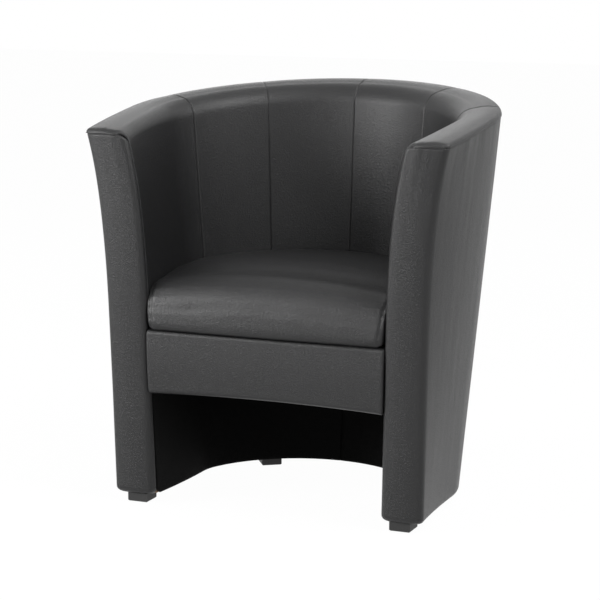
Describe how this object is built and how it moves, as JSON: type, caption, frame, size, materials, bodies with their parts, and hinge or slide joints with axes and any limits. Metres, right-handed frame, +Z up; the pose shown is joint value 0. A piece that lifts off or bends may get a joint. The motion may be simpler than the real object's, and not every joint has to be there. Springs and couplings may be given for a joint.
{
  "type": "tub chair",
  "caption": "Low upholstered tub chair: flared horseshoe back and arms in black faux leather, crowned seat on a front rail, small black feet.",
  "frame": {"origin": "on the floor, under the middle of the chair's bounding box", "axes": "+Z up, the seat opens towards -Y, +X to the sitter's left, the chair is symmetric about the plane X = 0"},
  "size_m": [0.735, 0.5466, 0.77],
  "materials": {
    "black_faux_leather": "soft satin, fine grain",
    "foam": "open-cell foam",
    "wadding": "fibre wadding",
    "felt": "needled felt",
    "plywood": "raw birch plywood",
    "hardboard": "smooth hardboard",
    "black_cloth": "non-woven cloth",
    "webbing": "woven elastic webbing",
    "black_plastic": "matt moulded",
    "zinc_steel": "zinc plated"
  },
  "bodies": {
    "root": {"arm_front_pad_left": "foam", "arm_front_pad_right": "foam", "arm_post_left": "plywood", "arm_post_right": "plywood", "back_foam": "foam", "base_cloth": "black_cloth", "base_ring": "plywood", "dust_cover": "black_cloth", "foot_screws": "zinc_steel", "front_foot_left": "black_plastic", "front_foot_right": "black_plastic", "inner_arm_cover_left": "black_faux_leather", "inner_arm_cover_right": "black_faux_leather", "inner_back_cover_left": "black_faux_leather", "inner_back_cover_right": "black_faux_leather", "inner_corner_cover_left": "black_faux_leather", "inner_corner_cover_right": "black_faux_leather", "inner_hardboard_lower": "hardboard", "inner_hardboard_upper": "hardboard", "lower_rib_arm_left": "plywood", "lower_rib_arm_right": "plywood", "lower_rib_back_left": "plywood", "lower_rib_back_right": "plywood", "lower_rib_corner_left": "plywood", "lower_rib_corner_right": "plywood", "outer_cover_back": "black_faux_leather", "outer_cover_left": "black_faux_leather", "outer_cover_right": "black_faux_leather", "outer_hardboard": "hardboard", "outer_wadding": "wadding", "rail_board": "plywood", "rail_cleat_left": "plywood", "rail_cleat_right": "plywood", "rail_cover": "black_faux_leather", "rail_pad": "foam", "rear_foot_left": "black_plastic", "rear_foot_right": "black_plastic", "rim_foam": "foam", "seat_cover": "black_faux_leather", "seat_felt": "felt", "seat_foam": "foam", "seat_frame": "plywood", "seat_ring": "plywood", "seat_screws": "zinc_steel", "top_ring": "plywood", "under_seat_cover_left": "black_faux_leather", "under_seat_cover_right": "black_faux_leather", "upper_rib_arm_left": "plywood", "upper_rib_arm_right": "plywood", "upper_rib_back_left": "plywood", "upper_rib_back_right": "plywood", "upper_rib_corner_left": "plywood", "upper_rib_corner_right": "plywood", "webbing_front_to_back": "webbing", "webbing_side_to_side": "webbing"}
  },
  "joints": []
}
